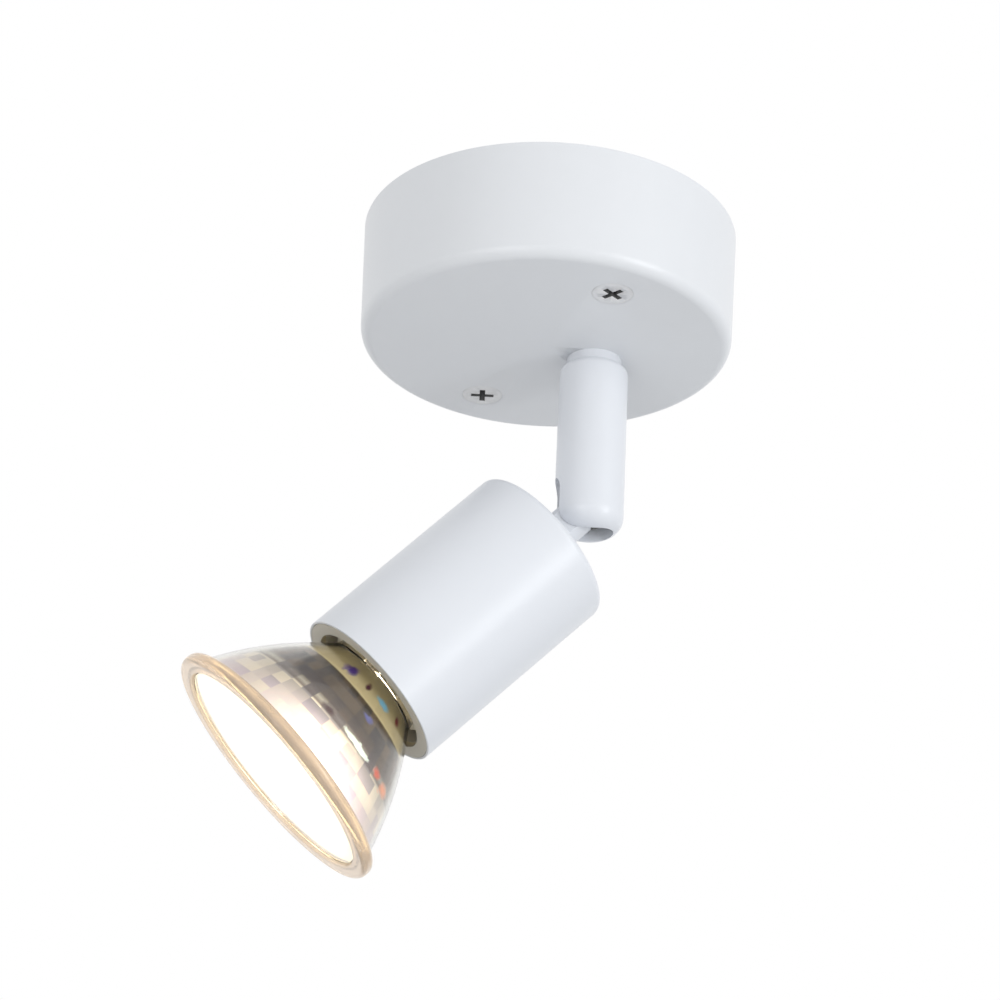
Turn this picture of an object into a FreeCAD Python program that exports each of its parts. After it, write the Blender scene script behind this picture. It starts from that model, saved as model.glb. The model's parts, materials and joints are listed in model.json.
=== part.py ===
import FreeCAD, Part
import math
import os

# Ceiling spotlight: a round canopy, a turning stem, a tilting head and a plug-in reflector lamp.
# Millimetres and degrees. The ceiling is the plane z = 0 and +Z points into it. The origin is the
# middle of the canopy's open rim, +X runs from there to the stem, and Y runs through the two
# canopy screws. The photo's pose is the rest pose.

os.makedirs("parts", exist_ok=True)

# Running and mounting clearances
running = 0.06          # radial, between a shaft and the hole it turns in
swivel_gap = 0.1        # between flat faces that turn on each other
slip = 0.05             # radial, between fixed pieces that are only pushed together

# Canopy
canopy_radius = 35.0
canopy_height = 23.0
canopy_wall = 1.0
canopy_taper = 0.5      # how much smaller its radius is at the face
canopy_round = 2.2      # outside rounding between wall and face
stem_offset = 10.57     # from the canopy's middle to the stem's axis

# Canopy screws, countersunk
screw_spacing = 48.0
screw_radius = 2.0
screw_head_radius = 3.8
screw_head_depth = 1.9
screw_hole_gap = 0.15
screw_end = -2.0        # height of the screws' tips
recess_width = 0.9
recess_span = 4.4
recess_depth = 1.2

# Ceiling bracket
strap_width = 14.0
strap_thick = 1.5
strap_length = 60.0
strap_step = 3.0        # how far its ends stand off the ceiling
strap_flat = 34.0       # length of the middle that lies on the ceiling
step_run = 2.0
ceiling_hole_spacing = 24.0
ceiling_hole_radius = 2.25
wing_reach = 24.0
wing_width = 14.0

# Terminal block
pole_pitch = 8.0
block_length = 24.0
block_depth = 14.0
block_height = 11.0
block_gap = 0.3         # under the wing
block_edge = 12.0       # its near side, from the canopy's middle
tube_radius = 2.2
tube_bore = 1.5
tube_inset = 1.0
clamp_radius = 1.4
clamp_length = 4.0
clamp_inset = 4.0       # from the tube's middle, along the tube
fixing_radius = 1.5
fixing_head_radius = 2.75
fixing_head_height = 1.8

# Earth terminal
earth_place = 3.0
earth_screw_radius = 2.0
earth_head_radius = 3.6
earth_head_height = 2.2
earth_washer_thick = 0.6
ring_thick = 0.8
ring_radius = 4.0
barrel_radius = 1.6
barrel_length = 4.0
barrel_start = 4.4

# Leads
lead_radius = 0.8
lead_pair = 0.85        # each lead's distance from the middle of its pair
lead_bend = 4.0
short_bend = 1.6

# Swivel between canopy and stem
collar_radius = 5.1
collar_height = 1.7
spigot_radius = 4.6
spindle_radius = 4.0
spindle_bore = 2.8
spindle_flat = 3.5      # its flat's distance from its axis
spindle_thread = 5.0    # radius of its lower end, in the stem
spindle_grip = 10.0     # length of its lower end
washer_radius = 8.0
washer_thick = 1.0
stop_reach = 12.0
stop_tab_width = 3.0
stud_radius = 1.25
stud_place = 10.5       # from the stem's axis
stud_height = 4.0
spring_washer_height = 1.2
spring_washer_thick = 0.7
nut_flats = 13.0
nut_thick = 3.0
spindle_stub = 1.0      # what stands past the second nut

# Stem
stem_radius = 6.4
stem_top_round = 1.5
stem_end_round = 3.5
pivot_height = -53.2
stem_below_pivot = 5.65
ball_radius = 4.4
slot_width = 5.8
slot_rise = 5.0         # above the pivot, on the head's side
slot_reach = 4.6        # past the stem's axis, on the other side

# Pose of the photo
swivel = -26.0          # turn of the stem from pointing along -X
tilt = 44.1             # of the head, from hanging straight down
lamp_lean = 2.4         # the lamp hangs a little slack in its holder
lean_turn = 64.0        # of that lean, away from the way the head tilts

# Knuckle
tongue_thick = 5.4
tongue_width = 7.0
tongue_length = 7.7     # from the pivot to the neck collar
tail_radius = 3.0
tail_bore = 1.9
cup_start = 1.2         # above the pivot
cup_end = 7.0
cup_bore = 2.2
disc_count = 4
disc_thick = 0.5
disc_height = 0.85
sleeve_bore = 2.8

# Head
neck_length = 11.67     # from the pivot to the shell's closed end
neck_radius = 4.15
head_radius = 15.65
head_length = 43.4
head_wall = 0.5
head_round = 1.5
bracket_thick = 1.0
bracket_radius = 11.9
bracket_width = 8.0
foot_inner = 6.4
neck_washer_radius = 5.5
neck_washer_thick = 0.6
neck_nut_flats = 10.0
neck_nut_thick = 2.5
tail_stub = 0.7
retaining_ring_thick = 1.2
retaining_ring_bore = 12.7

# Lamp holder
holder_back = 8.0       # from the shell's closed end
holder_radius = 12.0
holder_length = 13.2
holder_recess = 3.5
holder_recess_radius = 6.6
foot_gap = 0.2
holder_screw_place = 8.5
holder_screw_radius = 1.5
holder_screw_head = 2.75
holder_screw_sink = 2.2
face_plate = 4.0
cavity_depth = 7.6
slit_width = 3.6
cavity_width = 5.8
contact_thick = 0.3
contact_radius = 2.0
post_radius = 0.8
post_below = 0.6

# Lamp
lamp_gap = 0.6          # between the holder's face and the lamp's base
lamp_turn = 22.0
pin_place = 5.0
pin_radius = 1.5
pin_length = 7.2
pin_head_radius = 2.5
pin_head_thick = 2.2
pin_root = 3.0          # what is held in the base
base_radius = 10.9
base_sink = 2.6         # its open end, behind the head's mouth
base_floor = 8.0        # solid ceramic above its pocket
pocket_radius = 9.9
neck_glass_radius = 9.8
cement_thick = 1.5      # above the glass neck, in the pocket
glass_wall = 1.2
rim_radius = 25.0
rim_from_opening = 22.8
rim_thick = 2.6
rim_round = 1.0
shoulder_radius = 23.0
flare_radius = 10.3     # where the bowl's curve begins
flare_drop = 1.8
bowl_radius = 18.2      # a point half-way along the curve
bowl_drop = 10.0        # and its distance in front of the head's opening
front_glass_thick = 1.6
front_glass_gap = 0.1
rim_sink = 0.6          # how far the front glass lies behind the bead's front
capsule_radius = 4.5
capsule_length = 22.0
capsule_wall = 0.8
filament_radius = 0.8
filament_length = 6.0
filament_leg_inset = 0.3  # how far in from its ends the legs stand
wire_radius = 0.35

# Worked-out heights
canopy_floor = -canopy_height + canopy_wall
stem_top = -canopy_height - collar_height - swivel_gap
friction_top = canopy_floor + washer_thick
stop_bottom = friction_top + swivel_gap
stop_top = stop_bottom + washer_thick
nuts_bottom = stop_top + spring_washer_height
nuts_top = nuts_bottom + 2 * nut_thick
spindle_top = nuts_top + spindle_stub
strap_end_top = -strap_step
strap_end_bottom = strap_end_top - strap_thick
block_top = -strap_thick - block_gap
block_bottom = block_top - block_height
pole_height = (block_top + block_bottom) / 2
block_far = -block_edge - block_depth
bracket_low = head_wall
bracket_high = bracket_low + bracket_thick
washer_high = bracket_high + neck_washer_thick
nut_high = washer_high + neck_nut_thick
tail_end = nut_high + tail_stub
holder_face = holder_back + holder_length
opening_from_face = head_length - holder_face
rim_front = opening_from_face + rim_from_opening
rim_back = -rim_front + rim_thick
base_length = opening_from_face - lamp_gap - base_sink
pocket_depth = base_length - base_floor
neck_glass_depth = pocket_depth - cement_thick
neck_glass_end = -lamp_gap - base_length


def vec(x, y, z):
    return FreeCAD.Vector(x, y, z)


up = vec(0, 0, 1)


def rod(radius, low, high, x=0.0, y=0.0):
    return Part.makeCylinder(radius, high - low, vec(x, y, low), up)


def ring(outer, inner, low, high, x=0.0, y=0.0):
    return rod(outer, low, high, x, y).cut(rod(inner, low, high, x, y))


def cone(low_radius, high_radius, low, high, x=0.0, y=0.0):
    return Part.makeCone(low_radius, high_radius, high - low, vec(x, y, low), up)


def block(low_corner, high_corner):
    size = [b - a for a, b in zip(low_corner, high_corner)]
    return Part.makeBox(size[0], size[1], size[2], vec(*low_corner))


def hexagon(flats, low, high):
    corner = flats / math.sqrt(3)
    angles = [math.radians(60 * i) for i in range(7)]
    outline = Part.makePolygon([vec(corner * math.cos(a), corner * math.sin(a), low) for a in angles])
    return Part.Face(outline).extrude(vec(0, 0, high - low))


def turned(steps):
    """A solid turned about Z from (radius, height) steps; a step of four numbers is an arc that
    passes the first two on its way to the last two."""
    edges = []
    last = steps[0]
    for step in steps[1:] + [steps[0]]:
        start = vec(last[-2], 0, last[-1])
        end = vec(step[-2], 0, step[-1])
        if len(step) == 4:
            edges.append(Part.Arc(start, vec(step[0], 0, step[1]), end).toShape())
        else:
            edges.append(Part.LineSegment(start, end).toShape())
        last = step
    return Part.Face(Part.Wire(edges)).revolve(vec(0, 0, 0), up, 360)


def bulge(radius, height, round_off, angle):
    """The point at an angle on a rounding, as radius and height. The rounding's middle is at
    (radius, height)."""
    a = math.radians(angle)
    return radius + round_off * math.cos(a), height + round_off * math.sin(a)


def lead(points, bend):
    """A round lead through the points, with every corner an arc of the same radius."""
    edges = []
    start = points[0]
    for before, corner, after in zip(points, points[1:], points[2:]):
        inward = (before - corner).normalize()
        outward = (after - corner).normalize()
        opening = inward.getAngle(outward)
        setback = bend / math.tan(opening / 2)
        arc_start = corner + inward * setback
        arc_end = corner + outward * setback
        middle = (inward + outward).normalize()
        arc_middle = corner + middle * (bend / math.sin(opening / 2) - bend)
        edges.append(Part.LineSegment(start, arc_start).toShape())
        edges.append(Part.Arc(arc_start, arc_middle, arc_end).toShape())
        start = arc_end
    edges.append(Part.LineSegment(start, points[-1]).toShape())
    along = (points[1] - points[0]).normalize()
    section = Part.Wire([Part.makeCircle(lead_radius, points[0], along)])
    return Part.Wire(edges).makePipeShell([section], True, False)


def on_stem(shape):
    """From the stem's own frame, with its axis on Z and the head towards -X, to the row's."""
    placed = shape.copy()
    placed.rotate(vec(0, 0, 0), up, swivel)
    placed.translate(vec(stem_offset, 0, 0))
    return placed


def on_head(shape):
    """From the head's own frame, hanging straight down from the pivot at its origin."""
    placed = shape.copy()
    placed.rotate(vec(0, 0, 0), vec(0, 1, 0), tilt)
    placed.translate(vec(0, 0, pivot_height))
    return on_stem(placed)


def on_holder(shape):
    """From the holder's own frame: its face is at z = 0 and the lamp hangs below it."""
    placed = shape.copy()
    placed.translate(vec(0, 0, -neck_length - holder_face))
    return on_head(placed)


def on_lamp(shape):
    """From the lamp's own frame, which leans a little about the middle of the holder's face."""
    lean_angle = math.radians(lean_turn)
    lean_axis = vec(math.sin(lean_angle), math.cos(lean_angle), 0)
    placed = shape.copy()
    placed.rotate(vec(0, 0, 0), lean_axis, lamp_lean)
    return on_holder(placed)


def save(name, shape):
    shape.exportStep("parts/" + name + ".step")


def canopy_screw_places():
    return [(0.0, side * screw_spacing / 2) for side in (-1, 1)]


def screw_recess(radius_to_clear, low):
    arm = block((-radius_to_clear, -recess_width / 2, low),
                (radius_to_clear, recess_width / 2, low + recess_depth))
    other = arm.copy()
    other.rotate(vec(0, 0, 0), up, 90)
    return arm.fuse(other)


def canopy():
    foot_radius = canopy_radius - canopy_taper
    inner_round = canopy_round - canopy_wall
    outside = bulge(foot_radius - canopy_round, -canopy_height + canopy_round, canopy_round, -45)
    inside = bulge(foot_radius - canopy_round, -canopy_height + canopy_round, inner_round, -45)
    cup = turned([
        (canopy_radius, 0),
        (foot_radius, -canopy_height + canopy_round),
        outside + (foot_radius - canopy_round, -canopy_height),
        (0, -canopy_height),
        (0, canopy_floor),
        (foot_radius - canopy_round, canopy_floor),
        inside + (foot_radius - canopy_wall, -canopy_height + canopy_round),
        (canopy_radius - canopy_wall, 0),
    ])
    low = -canopy_height
    head_end = low + screw_head_depth
    wide = screw_head_radius + screw_hole_gap
    narrow = screw_radius + screw_hole_gap
    for x, y in canopy_screw_places():
        dimple = cone(screw_head_radius + canopy_wall, screw_radius + canopy_wall, low, head_end, x, y)
        sink = cone(wide, narrow, low, head_end, x, y)
        hole = rod(narrow, low, 0, x, y)
        cup = cup.fuse(dimple).cut(sink).cut(hole)
    cup = cup.cut(rod(spigot_radius + slip, -canopy_height, canopy_floor, stem_offset))
    return cup.removeSplitter()


def canopy_screws():
    screws = []
    for x, y in canopy_screw_places():
        head = cone(screw_head_radius, screw_radius, -canopy_height, -canopy_height + screw_head_depth)
        screw = head.fuse(rod(screw_radius, -canopy_height + screw_head_depth, screw_end))
        screw = screw.cut(screw_recess(recess_span / 2, -canopy_height)).removeSplitter()
        screw.translate(vec(x, y, 0))
        screws.append(screw)
    return Part.Compound(screws)


def mounting_bracket():
    half_flat = strap_flat / 2
    half_length = strap_length / 2
    side = [
        (-half_length, strap_end_top), (-half_flat - step_run, strap_end_top), (-half_flat, 0),
        (half_flat, 0), (half_flat + step_run, strap_end_top), (half_length, strap_end_top),
        (half_length, strap_end_bottom), (half_flat + step_run, strap_end_bottom),
        (half_flat, -strap_thick), (-half_flat, -strap_thick),
        (-half_flat - step_run, strap_end_bottom), (-half_length, strap_end_bottom),
    ]
    outline = Part.makePolygon([vec(-strap_width / 2, y, z) for y, z in side + side[:1]])
    strap = Part.Face(outline).extrude(vec(strap_width, 0, 0))
    wing = block((-wing_reach, -wing_width / 2, -strap_thick), (-strap_width / 2, wing_width / 2, 0))
    strap = strap.fuse(wing)
    for sign in (-1, 1):
        strap = strap.cut(rod(screw_radius, -canopy_height, 0, 0, sign * screw_spacing / 2))
        strap = strap.cut(rod(ceiling_hole_radius, -strap_thick, 0, 0, sign * ceiling_hole_spacing / 2))
        strap = strap.cut(rod(fixing_radius, -strap_thick, 0, block_middle(), sign * pole_pitch / 2))
    strap = strap.cut(rod(earth_screw_radius, -strap_thick, 0, earth_place))
    return strap.removeSplitter()


def block_middle():
    return -block_edge - block_depth / 2


def pole_places():
    return [index * pole_pitch for index in (-1, 0, 1)]


def clamp_places():
    middle = block_middle()
    return [(middle + side * clamp_inset, y) for y in pole_places() for side in (-1, 1)]


def terminal_block():
    body = block((block_far, -block_length / 2, block_bottom), (-block_edge, block_length / 2, block_top))
    for y in pole_places():
        start = vec(block_far, y, pole_height)
        channel = Part.makeCylinder(tube_radius + slip, block_depth, start, vec(1, 0, 0))
        body = body.cut(channel)
    for x, y in clamp_places():
        body = body.cut(rod(clamp_radius + slip, block_bottom, pole_height, x, y))
    for sign in (-1, 1):
        y = sign * pole_pitch / 2
        body = body.cut(rod(fixing_radius + slip, block_bottom, block_top, block_middle(), y))
    return body


def terminal_tubes():
    tubes = []
    start = block_far + tube_inset
    length = block_depth - 2 * tube_inset
    for y in pole_places():
        tube = Part.makeCylinder(tube_radius, length, vec(start, y, pole_height), vec(1, 0, 0))
        bore = Part.makeCylinder(tube_bore, length, vec(start, y, pole_height), vec(1, 0, 0))
        tube = tube.cut(bore)
        for x, clamp_y in clamp_places():
            if clamp_y == y:
                tube = tube.cut(rod(clamp_radius, block_bottom, pole_height, x, y))
        tubes.append(tube)
    return Part.Compound(tubes)


def clamp_screws():
    top = pole_height - lead_radius - slip
    screws = []
    for x, y in clamp_places():
        screw = rod(clamp_radius, top - clamp_length, top, x, y)
        slot = block((x - clamp_radius, y - recess_width / 2, top - clamp_length),
                     (x + clamp_radius, y + recess_width / 2, top - clamp_length + recess_depth))
        screws.append(screw.cut(slot))
    return Part.Compound(screws)


def block_screws():
    screws = []
    for sign in (-1, 1):
        y = sign * pole_pitch / 2
        head = rod(fixing_head_radius, block_bottom - fixing_head_height, block_bottom)
        screw = head.fuse(rod(fixing_radius, block_bottom, 0))
        screw = screw.cut(screw_recess(fixing_radius, block_bottom - fixing_head_height)).removeSplitter()
        screw.translate(vec(block_middle(), y, 0))
        screws.append(screw)
    return Part.Compound(screws)


def earth_ring():
    flat = rod(ring_radius, -strap_thick - ring_thick, -strap_thick, earth_place)
    neck_end = earth_place - barrel_start
    ring_low = -strap_thick - ring_thick
    neck = block((neck_end, -barrel_radius, ring_low), (earth_place, barrel_radius, -strap_thick))
    barrel_height = barrel_middle()
    barrel = Part.makeCylinder(barrel_radius, barrel_length, vec(neck_end - barrel_length, 0, barrel_height),
                               vec(1, 0, 0))
    bore = Part.makeCylinder(lead_radius, barrel_length, vec(neck_end - barrel_length, 0, barrel_height),
                             vec(1, 0, 0))
    terminal = flat.fuse(neck).fuse(barrel).cut(bore)
    return terminal.cut(rod(earth_screw_radius + slip, ring_low, 0, earth_place)).removeSplitter()


def barrel_middle():
    return -strap_thick - slip - barrel_radius


def earth_washer():
    top = -strap_thick - ring_thick
    return ring(ring_radius, earth_screw_radius + slip, top - earth_washer_thick, top, earth_place)


def earth_screw():
    top = -strap_thick - ring_thick - earth_washer_thick
    head = rod(earth_head_radius, top - earth_head_height, top)
    screw = head.fuse(rod(earth_screw_radius, top, 0))
    screw = screw.cut(screw_recess(recess_span / 2, top - earth_head_height)).removeSplitter()
    screw.translate(vec(earth_place, 0, 0))
    return screw


def earth_lead():
    start = earth_place - barrel_start
    end = block_middle()
    barrel_end = start - barrel_length
    return lead([
        vec(start, 0, barrel_middle()),
        vec(barrel_end - lead_radius, 0, barrel_middle()),
        vec(-block_edge + 2 * lead_radius, 0, pole_height),
        vec(end, 0, pole_height),
    ], short_bend)


def canopy_lead(side):
    """From the spindle's top to its pole of the terminal block. It flexes when the stem turns."""
    start = on_stem(Part.Vertex(0, side * lead_pair, spindle_top)).Point
    return lead([
        start,
        vec(start.x, start.y, pole_height),
        vec(-block_edge + lead_bend, side * pole_pitch, pole_height),
        vec(block_middle(), side * pole_pitch, pole_height),
    ], lead_bend)


def stem_collar():
    flange = rod(collar_radius, -canopy_height - collar_height, -canopy_height, stem_offset)
    spigot = rod(spigot_radius, -canopy_height, canopy_floor, stem_offset)
    bore = rod(spindle_radius + running, -canopy_height - collar_height, canopy_floor, stem_offset)
    return flange.fuse(spigot).cut(bore).removeSplitter()


def friction_washer():
    return ring(washer_radius, spindle_radius + running, canopy_floor, friction_top, stem_offset)


def stop_stud():
    angle = math.radians(swivel)
    x = stem_offset - stud_place * math.cos(angle)
    y = -stud_place * math.sin(angle)
    return rod(stud_radius, canopy_floor, canopy_floor + stud_height, x, y)


def with_flat(shape):
    """The spindle's thread, or a bore that fits it, with its long flat."""
    far = canopy_height
    return shape.cut(block((spindle_flat, -far, -far), (far, far, 0)))


def stop_washer():
    plate = rod(washer_radius - washer_thick, stop_bottom, stop_top)
    tab = block((0, -stop_tab_width / 2, stop_bottom), (stop_reach, stop_tab_width / 2, stop_top))
    bore = with_flat(rod(spindle_radius, stop_bottom, stop_top))
    return plate.fuse(tab).cut(bore).removeSplitter()


def spring_washer():
    rise = spring_washer_height - spring_washer_thick
    inner = spindle_radius + slip
    return turned([
        (inner, stop_top + rise),
        (washer_radius - washer_thick, stop_top),
        (washer_radius - washer_thick, stop_top + spring_washer_thick),
        (inner, nuts_bottom),
    ])


def spindle_nuts():
    nuts = []
    for index in range(2):
        low = nuts_bottom + index * nut_thick
        nuts.append(hexagon(nut_flats, low, low + nut_thick).cut(rod(spindle_radius, low, low + nut_thick)))
    return Part.Compound(nuts)


def spindle():
    lower = rod(spindle_thread, stem_top - spindle_grip, stem_top)
    upper = rod(spindle_radius, stem_top, friction_top)
    flatted = with_flat(rod(spindle_radius, friction_top, spindle_top))
    bore = rod(spindle_bore, stem_top - spindle_grip, spindle_top)
    return lower.fuse(upper).fuse(flatted).cut(bore).removeSplitter()


def slot_cut(pivot):
    """The room that the stem's slot takes, with its round ends, about a pivot at a height."""
    half = slot_width / 2
    low = pivot - 2 * stem_radius
    far = 2 * stem_radius
    level = block((-far, -half, low), (slot_reach - half, half, pivot))
    end = rod(half, low, pivot, slot_reach - half)
    rise = block((-far, -half, pivot), (0, half, pivot + slot_rise - half))
    top = Part.makeCylinder(half, far, vec(-far, 0, pivot + slot_rise - half), vec(1, 0, 0))
    return level.fuse(end).fuse(rise).fuse(top)


def stem():
    bottom = pivot_height - stem_below_pivot
    top_round = bulge(stem_radius - stem_top_round, stem_top - stem_top_round, stem_top_round, 45)
    end_round = bulge(stem_radius - stem_end_round, bottom + stem_end_round, stem_end_round, -45)
    body = turned([
        (0, stem_top),
        (stem_radius - stem_top_round, stem_top),
        top_round + (stem_radius, stem_top - stem_top_round),
        (stem_radius, bottom + stem_end_round),
        end_round + (stem_radius - stem_end_round, bottom),
        (0, bottom),
    ])
    seat = ball_radius + running
    body = body.cut(rod(seat, pivot_height, stem_top))
    body = body.cut(Part.makeSphere(seat, vec(0, 0, pivot_height)))
    body = body.cut(rod(spindle_thread, stem_top - spindle_grip, stem_top))
    return body.cut(slot_cut(pivot_height)).removeSplitter()


def pressure_cup():
    cup = ring(ball_radius, cup_bore, pivot_height + cup_start, pivot_height + cup_end)
    cup = cup.cut(Part.makeSphere(ball_radius + running, vec(0, 0, pivot_height)))
    return cup.cut(slot_cut(pivot_height)).removeSplitter()


def disc_springs():
    outer = ball_radius - slip
    rise = disc_height - disc_thick
    discs = []
    for index in range(disc_count):
        low = pivot_height + cup_end + index * disc_height
        inner_lift, outer_lift = (rise, 0) if index % 2 else (0, rise)
        discs.append(turned([
            (cup_bore, low + inner_lift),
            (outer, low + outer_lift),
            (outer, low + outer_lift + disc_thick),
            (cup_bore, low + inner_lift + disc_thick),
        ]))
    return Part.Compound(discs)


def spacer_sleeve():
    low = pivot_height + cup_end + disc_count * disc_height
    return ring(ball_radius - slip, sleeve_bore, low, stem_top - spindle_grip)


def stem_lead(side):
    """From the spindle's top down the stem and through the ball to the end of its tail. It
    flexes when the head tilts."""
    y = side * lead_pair
    angle = math.radians(tilt)
    reach = neck_length + tail_end
    end = vec(-reach * math.sin(angle), y, pivot_height - reach * math.cos(angle))
    return lead([vec(0, y, spindle_top), vec(0, y, pivot_height), end], lead_bend)


def knuckle():
    ball = Part.makeSphere(ball_radius)
    tongue = rod(tongue_width / 2, -tongue_length, 0)
    tongue = tongue.common(block((-tongue_width, -tongue_thick / 2, -tongue_length),
                                 (tongue_width, tongue_thick / 2, 0)))
    tail = rod(tail_radius, -neck_length - tail_end, -tongue_length)
    body = ball.fuse(tongue).fuse(tail)
    body = body.cut(rod(tail_bore, -neck_length - tail_end, ball_radius))
    lead_way = block((-2 * ball_radius, -tail_bore, -tail_bore), (tail_bore, tail_bore, 2 * ball_radius))
    return body.cut(lead_way).removeSplitter()


def neck_collar():
    return ring(neck_radius, tail_radius, -neck_length, -tongue_length)


def head_shell():
    closed = -neck_length
    opening = closed - head_length
    outside = bulge(head_radius - head_round, closed - head_round, head_round, 45)
    inside = bulge(head_radius - head_round, closed - head_round, head_round - head_wall, 45)
    inner_radius = head_radius - head_wall
    return turned([
        (tail_radius + slip, closed),
        (head_radius - head_round, closed),
        outside + (head_radius, closed - head_round),
        (head_radius, opening),
        (inner_radius, opening),
        (inner_radius, closed - head_round),
        inside + (head_radius - head_round, closed - head_wall),
        (tail_radius + slip, closed - head_wall),
    ])


def below_neck(distance):
    return -neck_length - distance


def holder_bracket():
    low = below_neck(bracket_high)
    plate = block((-bracket_width / 2, -bracket_radius, low),
                  (bracket_width / 2, bracket_radius, below_neck(bracket_low)))
    plate = plate.common(rod(bracket_radius, low, below_neck(bracket_low)))
    foot_low = below_neck(holder_back - foot_gap)
    bracket = plate
    for sign in (-1, 1):
        legs = [sign * bracket_radius, sign * (bracket_radius - bracket_thick)]
        feet = [sign * bracket_radius, sign * foot_inner]
        leg = block((-bracket_width / 2, min(legs), foot_low), (bracket_width / 2, max(legs), low))
        foot = block((-bracket_width / 2, min(feet), foot_low),
                     (bracket_width / 2, max(feet), foot_low + bracket_thick))
        bracket = bracket.fuse(leg.common(rod(bracket_radius, foot_low, low))).fuse(foot)
        bracket = bracket.cut(rod(holder_screw_radius, foot_low, foot_low + bracket_thick,
                                  0, sign * holder_screw_place))
    bracket = bracket.common(rod(bracket_radius, foot_low, 0))
    return bracket.cut(rod(tail_radius + slip, low, 0)).removeSplitter()


def neck_washer():
    return ring(neck_washer_radius, tail_radius + slip, below_neck(washer_high), below_neck(bracket_high))


def neck_nut():
    low = below_neck(nut_high)
    high = below_neck(washer_high)
    return hexagon(neck_nut_flats, low, high).cut(rod(tail_radius, low, high))


def retaining_ring():
    low = below_neck(head_length)
    outer = head_radius - head_wall - slip
    return ring(outer, retaining_ring_bore, low, low + retaining_ring_thick)


def arc_slot(width, low, high):
    """A slot round the holder's axis, from where a pin is locked to where it comes out."""
    half = width / 2
    near = pin_place - half
    far = pin_place + half
    corners = [(near, low), (far, low), (far, high), (near, high)]
    section = Part.makePolygon([vec(x, 0, z) for x, z in corners + corners[:1]])
    sweep = Part.Face(section).revolve(vec(0, 0, 0), up, -lamp_turn)
    entry = rod(half, low, high, pin_place)
    entry.rotate(vec(0, 0, 0), up, -lamp_turn)
    return sweep.fuse(rod(half, low, high, pin_place)).fuse(entry)


def half_turned(shape):
    other = shape.copy()
    other.rotate(vec(0, 0, 0), up, 180)
    return other


def lamp_holder():
    body = rod(holder_radius, 0, holder_length)
    body = body.cut(rod(holder_recess_radius, holder_length - holder_recess, holder_length))
    entry = rod(cavity_width / 2, 0, face_plate, pin_place)
    entry.rotate(vec(0, 0, 0), up, -lamp_turn)
    way = arc_slot(slit_width, 0, face_plate).fuse(entry)
    way = way.fuse(arc_slot(cavity_width, face_plate, cavity_depth))
    way = way.fuse(rod(post_radius, cavity_depth, holder_length, pin_place))
    body = body.cut(way).cut(half_turned(way))
    for sign in (-1, 1):
        y = sign * holder_screw_place
        body = body.cut(rod(holder_screw_radius + slip, 0, holder_length, 0, y))
        body = body.cut(rod(holder_screw_head + slip, 0, holder_screw_sink + slip, 0, y))
    return body


def holder_screws():
    screws = []
    for sign in (-1, 1):
        head = rod(holder_screw_head, 0, holder_screw_sink)
        head = head.cut(screw_recess(holder_screw_radius, 0))
        shank = rod(holder_screw_radius, holder_screw_sink, holder_length + foot_gap + bracket_thick)
        screw = head.fuse(shank)
        screw.translate(vec(0, sign * holder_screw_place, 0))
        screws.append(screw.removeSplitter())
    return Part.Compound(screws)


def holder_contacts():
    plate = rod(contact_radius, cavity_depth - contact_thick, cavity_depth, pin_place)
    post_end = holder_length - holder_recess + post_below
    contact = plate.fuse(rod(post_radius, cavity_depth, post_end, pin_place)).removeSplitter()
    return Part.Compound([contact, half_turned(contact)])


def head_lead(side):
    """From the end of the knuckle's tail to the holder's contact."""
    y = side * lead_pair
    x = -side * pin_place
    post_end = holder_face - holder_length + holder_recess - post_below
    turn_down = below_neck(tail_end + 2 * lead_radius)
    turn_in = below_neck(post_end - 2 * lead_radius)
    return lead([
        vec(0, y, below_neck(tail_end)),
        vec(0, y, turn_down),
        vec(x, 0, turn_in),
        vec(x, 0, below_neck(post_end - slip)),
    ], short_bend)


def lamp_pins():
    foot = -lamp_gap
    top = foot + pin_length
    pin = rod(pin_radius, foot - pin_root, top - pin_head_thick, pin_place)
    pin = pin.fuse(rod(pin_head_radius, top - pin_head_thick, top, pin_place)).removeSplitter()
    return Part.Compound([pin, half_turned(pin)])


def lamp_base():
    high = -lamp_gap
    low = high - base_length
    body = rod(base_radius, low, high).cut(rod(pocket_radius, low, low + pocket_depth))
    for sign in (-1, 1):
        body = body.cut(rod(pin_radius, high - pin_root, high, sign * pin_place))
        body = body.cut(rod(wire_radius, low + pocket_depth, high - pin_root, sign * pin_place))
    return body


def reflector_outline(offset):
    """The reflector's side from its neck to the shoulder behind the rim, drawn in by an offset."""
    return [
        (neck_glass_radius - offset, neck_glass_end + neck_glass_depth),
        (neck_glass_radius - offset, neck_glass_end),
        (flare_radius - offset, neck_glass_end - flare_drop),
        (bowl_radius - offset, -opening_from_face - bowl_drop, shoulder_radius - offset, rim_back),
    ]


def lamp_reflector():
    """One glass shell. Its rim is a bead, and the front glass sits in a step behind the bead."""
    bead = bulge(rim_radius - rim_round, -rim_front + rim_round, rim_round, -45)
    outside = reflector_outline(0) + [
        (rim_radius - rim_round, rim_back),
        (rim_radius, rim_back - rim_round),
        (rim_radius, -rim_front + rim_round),
        bead + (rim_radius - rim_round, -rim_front),
        (shoulder_radius - glass_wall, -rim_front),
    ]
    inside = reflector_outline(glass_wall)
    arc_height = inside[3][1]
    back = [
        (inside[3][0], arc_height) + inside[2],
        inside[1],
        inside[0],
    ]
    return turned(outside + [inside[3][2:]] + back)


def front_glass():
    radius = shoulder_radius - glass_wall - front_glass_gap
    return rod(radius, -rim_front + rim_sink, -rim_front + rim_sink + front_glass_thick)


def capsule_low():
    return neck_glass_end + neck_glass_depth - capsule_length


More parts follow.
